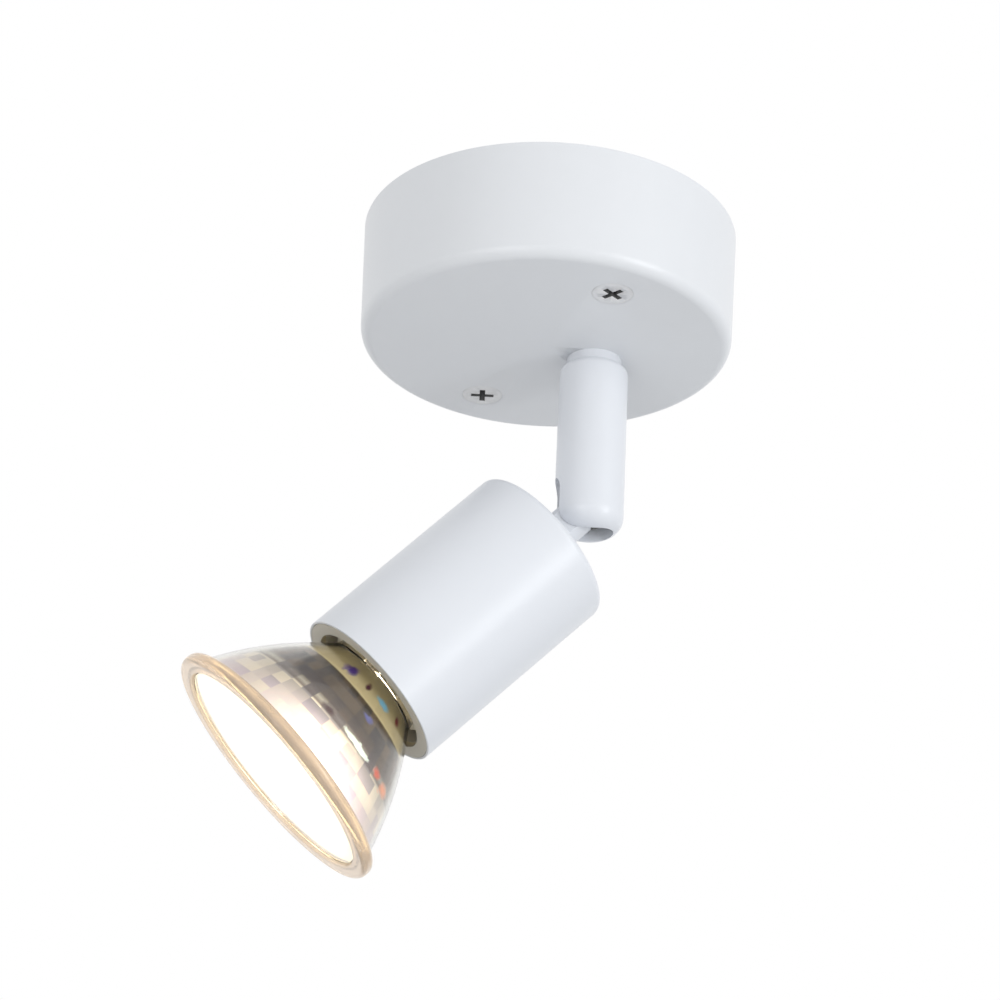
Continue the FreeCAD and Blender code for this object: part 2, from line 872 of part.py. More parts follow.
def capsule():
    """A quartz bulb with a round end, and its flat pinch buried in the cement."""
    high = neck_glass_end + neck_glass_depth
    low = capsule_low() + capsule_radius
    inner = capsule_radius - capsule_wall
    outer_body = rod(capsule_radius, low, high).fuse(Part.makeSphere(capsule_radius, vec(0, 0, low)))
    inner_body = rod(inner, low, high - capsule_wall).fuse(Part.makeSphere(inner, vec(0, 0, low)))
    return outer_body.cut(inner_body).removeSplitter()


def filament():
    middle = (capsule_low() + neck_glass_end + neck_glass_depth) / 2
    start = vec(0, -filament_length / 2, middle)
    coil = Part.makeCylinder(filament_radius, filament_length, start, vec(0, 1, 0))
    wire_end = neck_glass_end + neck_glass_depth - capsule_wall
    leg_place = filament_length / 2 - filament_leg_inset
    for sign in (-1, 1):
        coil = coil.fuse(rod(wire_radius, middle, wire_end, 0, sign * leg_place))
    return coil.removeSplitter()


def cement():
    return rod(neck_glass_radius, neck_glass_end + neck_glass_depth, neck_glass_end + pocket_depth)


def capsule_wires():
    top = -lamp_gap - pin_root
    wires = [rod(wire_radius, neck_glass_end + pocket_depth, top, sign * pin_place) for sign in (-1, 1)]
    return Part.Compound(wires)


def build():
    save("canopy", canopy())
    save("canopy_screws", canopy_screws())
    save("mounting_bracket", mounting_bracket())
    save("terminal_block", terminal_block())
    save("terminal_tubes", terminal_tubes())
    save("clamp_screws", clamp_screws())
    save("block_screws", block_screws())
    save("earth_ring", earth_ring())
    save("earth_washer", earth_washer())
    save("earth_screw", earth_screw())
    save("earth_lead", earth_lead())
    save("live_lead_canopy", canopy_lead(-1))
    save("neutral_lead_canopy", canopy_lead(1))
    save("stem_collar", stem_collar())
    save("friction_washer", friction_washer())
    save("stop_stud", stop_stud())
    save("stem", on_stem(stem()))
    save("spindle", on_stem(spindle()))
    save("stop_washer", on_stem(stop_washer()))
    save("spring_washer", on_stem(spring_washer()))
    save("spindle_nuts", on_stem(spindle_nuts()))
    save("pressure_cup", on_stem(pressure_cup()))
    save("disc_springs", on_stem(disc_springs()))
    save("spacer_sleeve", on_stem(spacer_sleeve()))
    save("live_lead_stem", on_stem(stem_lead(-1)))
    save("neutral_lead_stem", on_stem(stem_lead(1)))
    save("knuckle", on_head(knuckle()))
    save("neck_collar", on_head(neck_collar()))
    save("head_shell", on_head(head_shell()))
    save("holder_bracket", on_head(holder_bracket()))
    save("neck_washer", on_head(neck_washer()))
    save("neck_nut", on_head(neck_nut()))
    save("retaining_ring", on_head(retaining_ring()))
    save("live_lead_head", on_head(head_lead(-1)))
    save("neutral_lead_head", on_head(head_lead(1)))
    save("lamp_holder", on_holder(lamp_holder()))
    save("holder_screws", on_holder(holder_screws()))
    save("holder_contacts", on_holder(holder_contacts()))
    save("lamp_pins", on_lamp(lamp_pins()))
    save("lamp_base", on_lamp(lamp_base()))
    save("lamp_reflector", on_lamp(lamp_reflector()))
    save("front_glass", on_lamp(front_glass()))
    save("capsule", on_lamp(capsule()))
    save("filament", on_lamp(filament()))
    save("cement", on_lamp(cement()))
    save("capsule_wires", on_lamp(capsule_wires()))


build()
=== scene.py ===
import json
import math
import bmesh
import bpy
from mathutils import Matrix, Vector


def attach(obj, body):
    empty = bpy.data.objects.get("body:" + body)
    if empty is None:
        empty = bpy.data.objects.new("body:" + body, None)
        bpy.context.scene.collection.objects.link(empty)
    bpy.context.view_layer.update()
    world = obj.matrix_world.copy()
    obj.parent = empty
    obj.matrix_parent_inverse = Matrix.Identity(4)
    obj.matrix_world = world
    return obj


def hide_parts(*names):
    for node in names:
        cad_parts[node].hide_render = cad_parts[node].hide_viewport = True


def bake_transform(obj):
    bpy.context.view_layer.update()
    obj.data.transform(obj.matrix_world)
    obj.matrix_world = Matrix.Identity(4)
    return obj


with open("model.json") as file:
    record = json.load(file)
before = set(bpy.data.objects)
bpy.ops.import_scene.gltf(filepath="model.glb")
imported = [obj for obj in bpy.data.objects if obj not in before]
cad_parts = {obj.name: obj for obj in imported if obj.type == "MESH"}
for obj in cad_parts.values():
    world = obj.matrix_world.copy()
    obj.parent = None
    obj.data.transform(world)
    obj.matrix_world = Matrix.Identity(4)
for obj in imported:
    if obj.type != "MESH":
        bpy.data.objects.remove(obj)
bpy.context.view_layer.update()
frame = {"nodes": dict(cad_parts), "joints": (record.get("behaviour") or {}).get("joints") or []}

scene = bpy.context.scene

# The view. A long lens looks up at the fitting from the front left, a little rolled, as a
# catalogue photo of a ceiling light is taken. Angles in degrees, distances in metres.
camera_lens = 135.0
camera_turn = 28.53
camera_climb = 25.83
camera_roll = 2.71
camera_reach = 0.70794
camera_right = -0.00947
camera_over = -0.04931
camera_sensor = 36.0

turn = math.radians(camera_turn)
climb = math.radians(camera_climb)
roll = math.radians(camera_roll)
ahead = Vector((math.sin(turn) * math.cos(climb), math.cos(turn) * math.cos(climb), math.sin(climb)))
level = Vector((math.cos(turn), -math.sin(turn), 0))
over = level.cross(ahead)
right = level * math.cos(roll) + over * math.sin(roll)
top = over * math.cos(roll) - level * math.sin(roll)
camera_place = right * camera_right + top * camera_over - ahead * camera_reach

camera_data = bpy.data.cameras.new("camera")
camera_data.lens = camera_lens
camera_data.sensor_width = camera_sensor
camera = bpy.data.objects.new("camera", camera_data)
scene.collection.objects.link(camera)
camera.matrix_world = Matrix((
    (right.x, top.x, -ahead.x, camera_place.x),
    (right.y, top.y, -ahead.y, camera_place.y),
    (right.z, top.z, -ahead.z, camera_place.z),
    (0, 0, 0, 1),
))
scene.camera = camera
scene.view_settings.view_transform = "Standard"


# The room. White walls that the camera, gloss and glass see at full strength, and that light
# the fitting a little less, with a pale floor far below and three soft lamps.
room_light = 0.66
room_tint = (0.97, 0.985, 1.0, 1)
floor_height = -0.55
floor_width = 6.0
floor_pale = (0.86, 0.86, 0.86, 1)
floor_roughness = 0.9
fitting_middle = Vector((0, 0, -0.05))

world = bpy.data.worlds.new("room")
scene.world = world
world.use_nodes = True
nodes = world.node_tree.nodes
links = world.node_tree.links
nodes.clear()
rays = nodes.new("ShaderNodeLightPath")
shown = rays.outputs["Is Camera Ray"]
for kind in ("Is Glossy Ray", "Is Transmission Ray"):
    either = nodes.new("ShaderNodeMath")
    either.operation = "MAXIMUM"
    links.new(shown, either.inputs[0])
    links.new(rays.outputs[kind], either.inputs[1])
    shown = either.outputs[0]
plain = nodes.new("ShaderNodeBackground")
plain.inputs["Color"].default_value = room_tint
plain.inputs["Strength"].default_value = room_light
white = nodes.new("ShaderNodeBackground")
white.inputs["Color"].default_value = (1, 1, 1, 1)
white.inputs["Strength"].default_value = 1.0
chosen = nodes.new("ShaderNodeMixShader")
links.new(shown, chosen.inputs["Fac"])
links.new(plain.outputs[0], chosen.inputs[1])
links.new(white.outputs[0], chosen.inputs[2])
sky = nodes.new("ShaderNodeOutputWorld")
links.new(chosen.outputs[0], sky.inputs["Surface"])


def soft_lamp(name, place, width, height, power, colour):
    """A rectangular lamp that faces the middle of the fitting."""
    data = bpy.data.lights.new(name, "AREA")
    data.shape = "RECTANGLE"
    data.size = width
    data.size_y = height
    data.energy = power
    data.color = colour
    lamp = bpy.data.objects.new(name, data)
    scene.collection.objects.link(lamp)
    lamp.location = place
    aim = fitting_middle - Vector(place)
    lamp.rotation_mode = "QUATERNION"
    lamp.rotation_quaternion = aim.to_track_quat("-Z", "Y")


soft_lamp("front_left_lamp", (-0.95, -0.65, -0.3), 0.5, 0.7, 2.6, (1.0, 0.99, 0.97))
soft_lamp("front_right_lamp", (0.55, -1.1, -0.45), 0.22, 0.9, 4.0, (0.94, 0.97, 1.0))
soft_lamp("right_lamp", (0.45, -1.0, 0.0), 0.5, 0.7, 2.6, (1.0, 1.0, 1.0))

bpy.ops.mesh.primitive_grid_add(size=floor_width, x_subdivisions=4, y_subdivisions=4,
                                location=(0, 0, floor_height))
floor = bpy.context.object
floor.name = "floor"


def new_material(name):
    """A material, its tree and its shader."""
    material = bpy.data.materials.new(name)
    material.use_nodes = True
    return material, material.node_tree, material.node_tree.nodes["Principled BSDF"]


floor_finish, tree, shader = new_material("floor_finish")
shader.inputs["Base Color"].default_value = floor_pale
shader.inputs["Roughness"].default_value = floor_roughness
floor.data.materials.append(floor_finish)


# The canopy is a round cup of pressed steel, powder coated white. Two countersunk screws in
# pressed dimples hold it to the bracket on the ceiling, and the stem hangs beside its middle.
mm = 0.001
canopy_radius = 35.0
canopy_height = 23.0
canopy_wall = 1.0
canopy_taper = 0.5
canopy_round = 2.2
screw_spacing = 48.0
dimple_radius = 3.95
dimple_depth = 1.9
screw_hole_radius = 2.15
stem_hole_radius = 4.65
cut_past = 1.0           # how far a cut starts outside the face
dimple_flare = 0.5
on_axis = 1e-6           # what counts as a radius of nothing
stem_joint = next(joint for joint in frame["joints"] if joint["name"] == "stem_swivel")
stem_place = Vector(stem_joint["pos_m"])


def tree_node(tree, kind, **settings):
    """A node of one kind with its settings."""
    node = tree.nodes.new(kind)
    for label, value in settings.items():
        setattr(node, label, value)
    return node


def feed(tree, socket, value):
    """Links a socket to a value that comes from another, or sets it to a plain one."""
    if isinstance(value, bpy.types.NodeSocket):
        tree.links.new(value, socket)
    else:
        socket.default_value = value


def sum_node(tree, operation, *values):
    """A Math node whose inputs are sockets or numbers."""
    node = tree_node(tree, "ShaderNodeMath", operation=operation)
    for socket, value in zip(node.inputs, values):
        feed(tree, socket, value)
    return node.outputs[0]


def scaled(tree, colour, amount):
    """A colour made lighter or darker by an amount."""
    node = tree_node(tree, "ShaderNodeVectorMath", operation="SCALE")
    feed(tree, node.inputs[0], colour)
    feed(tree, node.inputs["Scale"], amount)
    return node.outputs[0]


def noise_node(tree, scale, detail, stretch=(1, 1, 1)):
    """Noise that stays with the piece, stretched along the row frame's axes."""
    place = tree_node(tree, "ShaderNodeTexCoord")
    mapping = tree_node(tree, "ShaderNodeMapping")
    mapping.inputs["Scale"].default_value = stretch
    noise = tree_node(tree, "ShaderNodeTexNoise")
    noise.inputs["Scale"].default_value = scale
    noise.inputs["Detail"].default_value = detail
    tree.links.new(place.outputs["Object"], mapping.inputs["Vector"])
    tree.links.new(mapping.outputs[0], noise.inputs["Vector"])
    return noise.outputs["Fac"]


def effect(name, numbers, colours=("Colour",), colours_out=("Colour",), numbers_out=("Roughness", "Height")):
    """A node group with named inputs and outputs: its tree, what it is given and what it makes."""
    tree = bpy.data.node_groups.new(name, "ShaderNodeTree")
    for way, kind, labels in (("INPUT", "NodeSocketColor", colours), ("INPUT", "NodeSocketFloat", numbers),
                              ("OUTPUT", "NodeSocketColor", colours_out),
                              ("OUTPUT", "NodeSocketFloat", numbers_out)):
        for label in labels:
            tree.interface.new_socket(label, in_out=way, socket_type=kind)
    return tree, tree_node(tree, "NodeGroupInput").outputs, tree_node(tree, "NodeGroupOutput").inputs


def drifting(name, drift, gloss_drift, relief):
    """A fine relief under a colour and a gloss that drift together, each from its own noise."""
    tree, given, made = effect(name, ("Drift", "Gloss"))
    change = sum_node(tree, "SUBTRACT", noise_node(tree, **drift), 0.5)
    lightness = sum_node(tree, "MULTIPLY_ADD", change, given["Drift"], 1.0)
    feed(tree, made["Colour"], scaled(tree, given["Colour"], lightness))
    feed(tree, made["Roughness"], sum_node(tree, "MULTIPLY_ADD", change, gloss_drift, given["Gloss"]))
    feed(tree, made["Height"], noise_node(tree, **relief))
    return tree


def surface(name, colour, group, amounts, relief=0.02, **sockets):
    """A material whose colour, roughness and relief come from an effect, relief in mm."""
    material, tree, shader = new_material(name)
    for label, value in sockets.items():
        shader.inputs[label.replace("_", " ")].default_value = value
    look = tree_node(tree, "ShaderNodeGroup", node_tree=group)
    look.inputs["Colour"].default_value = colour + (1.0,)
    for label, value in amounts.items():
        look.inputs[label].default_value = value
    bump = tree_node(tree, "ShaderNodeBump")
    bump.inputs["Distance"].default_value = relief * mm
    tree.links.new(look.outputs["Colour"], shader.inputs["Base Color"])
    tree.links.new(look.outputs["Roughness"], shader.inputs["Roughness"])
    tree.links.new(look.outputs["Height"], bump.inputs["Height"])
    tree.links.new(bump.outputs["Normal"], shader.inputs["Normal"])
    return material


# Powder coat has a fine orange peel
powder_coat = drifting("powder_coat", drift={"scale": 260.0, "detail": 1.0}, gloss_drift=0.03,
                       relief={"scale": 1400.0, "detail": 2.0})


def rounded(corners, steps=8):
    """A turned outline from (radius, height) corners; a third number rounds the corner."""
    points = []
    count = len(corners)
    for index, corner in enumerate(corners):
        here = Vector(corner[:2])
        rounding = corner[2] if len(corner) > 2 else 0
        if not rounding:
            points.append(here)
            continue
        before = (Vector(corners[index - 1][:2]) - here).normalized()
        after = (Vector(corners[(index + 1) % count][:2]) - here).normalized()
        half = before.angle(after) / 2
        middle = here + (before + after).normalized() * (rounding / math.sin(half))
        start = here + before * (rounding / math.tan(half)) - middle
        end = here + after * (rounding / math.tan(half)) - middle
        sweep = start.angle(end)
        for step in range(steps + 1):
            share = step / steps
            point = start * math.sin((1 - share) * sweep) + end * math.sin(share * sweep)
            points.append(middle + point / math.sin(sweep))
    return points


def new_piece(name, points, faces, place=None, sharp=30.0):
    """A piece from points in mm in its own space, set in the row frame.

    Each vertex also keeps its own place, for finishes that go round the piece's axis."""
    mesh = bpy.data.meshes.new(name)
    own = [Vector(point) * mm for point in points]
    mesh.from_pydata([(place or Matrix.Identity(4)) @ point for point in own], [], faces)
    shape = bmesh.new()
    shape.from_mesh(mesh)
    bmesh.ops.recalc_face_normals(shape, faces=shape.faces)
    shape.to_mesh(mesh)
    shape.free()
    mesh.shade_smooth()
    mesh.set_sharp_from_angle(angle=math.radians(sharp))
    kept = mesh.attributes.new("own_place", "FLOAT_VECTOR", "POINT")
    kept.data.foreach_set("vector", [value for point in own for value in point])
    piece = bpy.data.objects.new(name, mesh)
    scene.collection.objects.link(piece)
    return piece


def ring_points(radius, height, sides):
    """Points in mm, evenly round the axis."""
    angles = [2 * math.pi * side / sides for side in range(sides)]
    return [(radius * math.cos(angle), radius * math.sin(angle), height) for angle in angles]


def turned(name, outline, place=None, sides=160, sharp=30.0):
    """A closed outline of (radius, height) in mm, turned round the piece's own axis."""
    points = []
    rings = []
    for radius, height in outline:
        if radius < on_axis:
            rings.append([len(points)] * sides)
            points.append((0, 0, height))
            continue
        rings.append(list(range(len(points), len(points) + sides)))
        points += ring_points(radius, height, sides)
    faces = []
    for first, second in zip(rings, rings[1:] + rings[:1]):
        for side in range(sides):
            after = (side + 1) % sides
            corners = [first[side], first[after], second[after], second[side]]
            face = list(dict.fromkeys(corners))
            if len(face) > 2:
                faces.append(face)
    return new_piece(name, points, faces, place, sharp)


def cut_out(piece, *tools):
    """Takes the tools' shapes out of a piece and removes the tools."""
    for tool in tools:
        modifier = piece.modifiers.new("cut", "BOOLEAN")
        modifier.object = tool
        modifier.solver = "EXACT"
    depsgraph = bpy.context.evaluated_depsgraph_get()
    shaped = bpy.data.meshes.new_from_object(piece.evaluated_get(depsgraph))
    piece.modifiers.clear()
    piece.data = shaped
    for tool in tools:
        bpy.data.objects.remove(tool)
    return piece


def done(piece, body, material, slot, *nodes):
    """Gives a piece even shading and its finish, and says what it rides on and stands for."""
    even = piece.modifiers.new("even_shading", "WEIGHTED_NORMAL")
    even.keep_sharp = True
    piece.data.materials.clear()
    piece.data.materials.append(material)
    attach(piece, body)
    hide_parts(*nodes)
    return piece


foot_radius = canopy_radius - canopy_taper
inside_round = canopy_round - canopy_wall
canopy = turned("canopy_cup", rounded([
    (canopy_radius, 0),
    (foot_radius, -canopy_height, canopy_round),
    (0, -canopy_height),
    (0, canopy_wall - canopy_height),
    (foot_radius - canopy_wall, canopy_wall - canopy_height, inside_round),
    (canopy_radius - canopy_wall, 0),
]), sides=240)
screw_places = [Vector((0, side * screw_spacing / 2, 0)) for side in (-1, 1)]
under = -canopy_height - cut_past
tools = []
for screw_place in screw_places:
    tools.append(turned("dimple", rounded([
        (0, under), (dimple_radius + dimple_flare, under),
        (dimple_radius, -canopy_height), (screw_hole_radius, dimple_depth - canopy_height),
        (screw_hole_radius, 0), (0, 0),
    ]), Matrix.Translation(screw_place * mm), sides=64))
inside = canopy_wall + cut_past - canopy_height
tools.append(turned("stem_hole", [
    (0, under), (stem_hole_radius, under), (stem_hole_radius, inside), (0, inside),
], Matrix.Translation((stem_place.x, stem_place.y, 0)), sides=96))
cut_out(canopy, *tools)
canopy_white = surface("canopy_white", (0.775, 0.79, 0.815), powder_coat, {"Drift": 0.015, "Gloss": 0.33},
                       relief=0.005)
done(canopy, "ceiling_base", canopy_white, "white_paint", "canopy")


# The two canopy screws are countersunk M4 machine screws in zinc plated steel, painted white
# on the head, with a cross recess. They go up into the bracket's threaded ends.
screw_head_radius = 3.8
screw_head_edge = 0.25   # its rounding, inwards
screw_head_rise = 0.12   # its rounding, upwards
screw_radius = 2.0
screw_tip = -2.0
screw_tip_edge = 0.2
thread_pitch = 0.7
thread_depth = 0.35
recess_span = 4.4
recess_depth = 1.3
recess_width = 1.0
recess_mouth = 0.12      # what its mouth is longer, at each end
recess_splay = 0.05      # what its mouth is wider, on each side
recess_past = 0.2        # how far the cut starts outside the head
recess_lip = 0.05        # what keeps the head's finish at the mouth
recess_slack = 0.1
recess_turns = (20, 62)  # as each screw came to rest, in degrees

worn_metal, given, made = effect("worn_metal", ("Wear", "Gloss"))
patches = noise_node(worn_metal, scale=260.0, detail=3.0)
scratches = noise_node(worn_metal, scale=900.0, detail=2.0, stretch=(1, 1, 8))
mottle = sum_node(worn_metal, "MULTIPLY", sum_node(worn_metal, "SUBTRACT", patches, 0.5), given["Wear"])
lightness = sum_node(worn_metal, "ADD", mottle, 1.0)
dullness = sum_node(worn_metal, "MULTIPLY_ADD", mottle, 0.5, given["Gloss"])
feed(worn_metal, made["Colour"], scaled(worn_metal, given["Colour"], lightness))
feed(worn_metal, made["Roughness"], dullness)
feed(worn_metal, made["Height"], scratches)


def cross_recess(name, place):
    """The tapered cross of a driver's tip, wide at its mouth and narrow at its foot."""
    mouth = (recess_span / 2 + recess_mouth, recess_width / 2 + recess_splay, -recess_past)
    foot = (recess_span / 4, recess_width / 4, recess_depth)
    points = []
    for reach, half, height in (mouth, foot):
        for quarter in range(4):
            angle = quarter * math.pi / 2
            along = Vector((math.cos(angle), math.sin(angle)))
            across = Vector((-along.y, along.x))
            for point in (along * reach - across * half, along * reach + across * half,
                          along * half + across * half):
                points.append((point.x, point.y, height))
    ring = len(points) // 2
    faces = [list(range(ring))[::-1], list(range(ring, 2 * ring))]
    for index in range(ring):
        after = (index + 1) % ring
        faces.append([index, after, ring + after, ring + index])
    return new_piece(name, points, faces, place)


screw_steel = surface("screw_steel", (0.80, 0.80, 0.81), worn_metal, {"Wear": 0.4, "Gloss": 0.35},
                      Metallic=0.3)
# The near black finish in the cross recess is painted shade, the dark inside of the hollow
painted_recess_shade = surface("painted_recess_shade", (0.10, 0.10, 0.10), worn_metal, {"Wear": 0.6, "Gloss": 0.5},
                       Metallic=0.6)
for index, screw_place in enumerate(screw_places):
    low = -canopy_height
    outline = [(0, low), (screw_head_radius - screw_head_edge, low),
               (screw_head_radius, low + screw_head_rise), (screw_radius, low + dimple_depth)]
    height = low + dimple_depth + thread_pitch
    while height < screw_tip - thread_pitch:
        outline += [(screw_radius, height), (screw_radius - thread_depth, height + thread_pitch / 2)]
        height += thread_pitch
    outline += [(screw_radius - screw_tip_edge, screw_tip), (0, screw_tip)]
    place = Matrix.Translation(screw_place * mm)
    turning = Matrix.Rotation(math.radians(recess_turns[index]), 4, "Z")
    screw = turned("canopy_screw_%d" % (index + 1), outline, place, sides=64)
    cut_out(screw, cross_recess("recess", place @ Matrix.Translation((0, 0, low * mm)) @ turning))
    done(screw, "ceiling_base", screw_steel, "white_paint", "canopy_screws")
    screw.data.materials.append(painted_recess_shade)
    # Faces inside the cross recess take the painted shade
    for face in screw.data.polygons:
        middle = place.inverted() @ face.center
        reach = math.hypot(middle.x, middle.y)
        sunk = (low + recess_lip) * mm < middle.z < (low + recess_depth + recess_slack) * mm
        if sunk and reach < recess_span / 2 * mm:
            face.material_index = 1


# Behind the canopy: the ceiling bracket of folded steel strip, with the earth terminal and the
# stem's washers and nuts, all zinc plated, and a moulded terminal block on the bracket's wing.
def dress(material, *names):
    """Gives parts that keep their made shape a finish."""
    for name in names:
        part = frame["nodes"][name]
        part.data.materials.clear()
        part.data.materials.append(material)


zinc_steel = surface("zinc_steel", (0.66, 0.67, 0.68), worn_metal, {"Wear": 0.5, "Gloss": 0.34},
                     Metallic=0.9)
brass = surface("brass", (0.70, 0.53, 0.26), worn_metal, {"Wear": 0.4, "Gloss": 0.28}, Metallic=1.0)
dress(zinc_steel, "mounting_bracket", "clamp_screws", "block_screws", "earth_ring", "earth_washer",
      "earth_screw", "stop_stud", "stop_washer", "spring_washer", "spindle_nuts", "spindle",
      "pressure_cup", "disc_springs", "spacer_sleeve", "holder_bracket", "neck_washer", "neck_nut",
      "holder_screws")
dress(brass, "terminal_tubes", "holder_contacts")

# Moulded plastic, ceramic and glass drift more slowly over a finer grain
moulded = drifting("moulded", drift={"scale": 90.0, "detail": 3.0}, gloss_drift=0.2,
                   relief={"scale": 2500.0, "detail": 3.0})
block_white = surface("block_white", (0.80, 0.79, 0.74), moulded, {"Drift": 0.06, "Gloss": 0.42})
dress(block_white, "terminal_block", "friction_washer")
live_brown = surface("live_brown", (0.17, 0.075, 0.035), moulded, {"Drift": 0.2, "Gloss": 0.38})
dress(live_brown, "live_lead_head")
neutral_blue = surface("neutral_blue", (0.04, 0.14, 0.42), moulded, {"Drift": 0.2, "Gloss": 0.38})
dress(neutral_blue, "neutral_lead_head")
earth_green = surface("earth_green", (0.12, 0.36, 0.08), moulded, {"Drift": 0.2, "Gloss": 0.38})
dress(earth_green, "earth_lead")


# The stem is a thick turned steel tube, powder coated white. A collar stands between it and the
# canopy, and its lower end is slotted so that the head's knuckle can swing out.
paint_white = (0.77, 0.79, 0.83)
stem_white = surface("stem_white", paint_white, powder_coat, {"Drift": 0.012, "Gloss": 0.32}, relief=0.003)
dress(stem_white, "stem_collar", "stem", "neck_collar")


# The knuckle is a zinc casting, a ball on a flat tongue. The ball is bare where it turns in the
# stem's slot, and the tongue, which holds the head, is painted as the stem is.
ball_radius = 4.6
# The ball's dark olive is partly the bare zinc and partly painted shade inside the stem's slot
zinc_and_slot_shade = (0.17, 0.165, 0.14)
zinc_roughness = 0.22
zinc_patches = 0.2       # what wear adds to the roughness
zinc_metallic = 0.9
axes = ("Middle X", "Middle Y", "Middle Z")
head_joint = next(joint for joint in frame["joints"] if joint["name"] == "head_tilt")
pivot = Vector(head_joint["pos_m"])


def mixed(tree, share, first, second):
    """One colour at a share of 0, another at 1."""
    node = tree_node(tree, "ShaderNodeMix", data_type="RGBA")
    for index, value in ((0, share), (6, first), (7, second)):
        feed(tree, node.inputs[index], value)
    return node.outputs[2]


part_painted, given, made = effect("part_painted", axes + ("Reach",), colours=("Metal", "Paint"),
                                   numbers_out=("Roughness", "Metallic"))
middle = tree_node(part_painted, "ShaderNodeCombineXYZ")
for index, label in enumerate(axes):
    feed(part_painted, middle.inputs[index], given[label])
away = tree_node(part_painted, "ShaderNodeVectorMath", operation="DISTANCE")
feed(part_painted, away.inputs[0], tree_node(part_painted, "ShaderNodeTexCoord").outputs["Object"])
feed(part_painted, away.inputs[1], middle.outputs[0])
painted = sum_node(part_painted, "GREATER_THAN", away.outputs["Value"], given["Reach"])
wear = noise_node(part_painted, scale=420.0, detail=3.0)
dullness = sum_node(part_painted, "MULTIPLY_ADD", wear, zinc_patches, zinc_roughness)
bareness = sum_node(part_painted, "MULTIPLY_ADD", painted, -zinc_metallic, zinc_metallic)
feed(part_painted, made["Colour"], mixed(part_painted, painted, given["Metal"], given["Paint"]))
feed(part_painted, made["Roughness"], dullness)
feed(part_painted, made["Metallic"], bareness)

knuckle_zinc, tree, shader = new_material("knuckle_zinc")
look = tree_node(tree, "ShaderNodeGroup", node_tree=part_painted)
look.inputs["Metal"].default_value = zinc_and_slot_shade + (1.0,)
look.inputs["Paint"].default_value = paint_white + (1.0,)
look.inputs["Reach"].default_value = ball_radius * mm
for label, value in zip(axes, pivot):
    look.inputs[label].default_value = value
for label, socket in (("Colour", "Base Color"), ("Roughness", "Roughness"), ("Metallic", "Metallic")):
    tree.links.new(look.outputs[label], shader.inputs[socket])
dress(knuckle_zinc, "knuckle")


# The leads are stranded copper in coloured insulation. Points are found where those in the stem
# would bend at the knuckle's pivot and those in the canopy twist, but the leads stay as made.
lead_reach = 4.0         # of the bend, on either side of the pivot
spindle_mouth_height = -11.7
twist_start = 5.2        # before the spindle's axis, along the canopy
twist_end = 1.2
lamp_joint = next(joint for joint in frame["joints"] if joint["name"] == "lamp_turn")
lamp_middle = Vector(lamp_joint["pos_m"])
head_up = (pivot - lamp_middle).normalized()
spindle_mouth = Vector((stem_place.x, stem_place.y, spindle_mouth_height * mm))
bend = (pivot + Vector((0, 0, lead_reach * mm)), pivot - head_up * lead_reach * mm)
twist = [spindle_mouth - Vector((reach * mm, 0, 0)) for reach in (twist_start, twist_end)]
for line, insulation in (("live", live_brown), ("neutral", neutral_blue)):
    for where, near, far, (start, end) in (("stem", "turning_stem", "head", bend),
                                           ("canopy", "ceiling_base", "turning_stem", twist)):
        node = "%s_lead_%s" % (line, where)
        core = bpy.data.objects.new(node + "_core", frame["nodes"][node].data.copy())
        scene.collection.objects.link(core)
        core.data.materials.clear()
        core.data.materials.append(insulation)
        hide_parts(node)
        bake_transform(core)


# The head is a drawn steel cup. A flat ring in grey paint closes its mouth round the lamp, and
# the ceramic lamp holder is screwed to a bracket behind it.
neck_length = 11.67
head_length = 43.4
head_radius = 15.65
head_wall = 0.5
head_round = 1.5
head_lip_round = 0.15
neck_hole_radius = 3.05
head_side = Vector(head_joint["axis"]).normalized()
head_front = head_side.cross(head_up)
head_turn = Matrix((head_front, head_side, head_up)).transposed()
head_back = -neck_length
head_mouth = head_back - head_length
head_shell = turned("head_cup", rounded([
    (neck_hole_radius, head_back), (head_radius, head_back, head_round),
    (head_radius, head_mouth, head_lip_round), (head_radius - head_wall, head_mouth, head_lip_round),
    (head_radius - head_wall, head_back - head_wall, head_round - head_wall),
    (neck_hole_radius, head_back - head_wall),
], steps=12), Matrix.Translation(pivot) @ head_turn.to_4x4(), sides=240)
done(head_shell, "head", stem_white, "white_paint", "head_shell")
ring_grey = surface("ring_grey", (0.66, 0.63, 0.56), powder_coat, {"Drift": 0.1, "Gloss": 0.5})
dress(ring_grey, "retaining_ring")
ceramic = surface("ceramic", (0.74, 0.73, 0.69), moulded, {"Drift": 0.06, "Gloss": 0.5})
dress(ceramic, "lamp_holder", "lamp_base", "cement")


# The lamp is a pressed glass reflector with a mirror coating in rows of small facets on its
# inside, a bead round its rim, a clear front glass, and a quartz capsule that is lit.
opening_height = -22.2
neck_top = -10.1
neck_end = -19.6
neck_radius = 9.8
flare_radius = 10.3
flare_height = -21.4
bowl_radius = 18.2
bowl_height = -32.2
shoulder_radius = 23.0
shoulder_height = -42.4
rim_radius = 25.0
rim_height = -45.0
rim_round = 1.0
mouth_radius = 21.8
mouth_round = 0.3
glass_skin = 0.5
coating_depth = 0.6
coating_thick = 0.5
coating_clear = 0.2      # from its lower edge to the shoulder
facet_columns = 48
facet_pitch = 2.2
facet_bulge = 0.1
facet_steps = 3          # each way across a facet

lean = head_up.rotation_difference(-Vector(lamp_joint["axis"]))
lamp_place = Matrix.Translation(lamp_middle) @ (lean.to_matrix() @ head_turn).to_4x4()

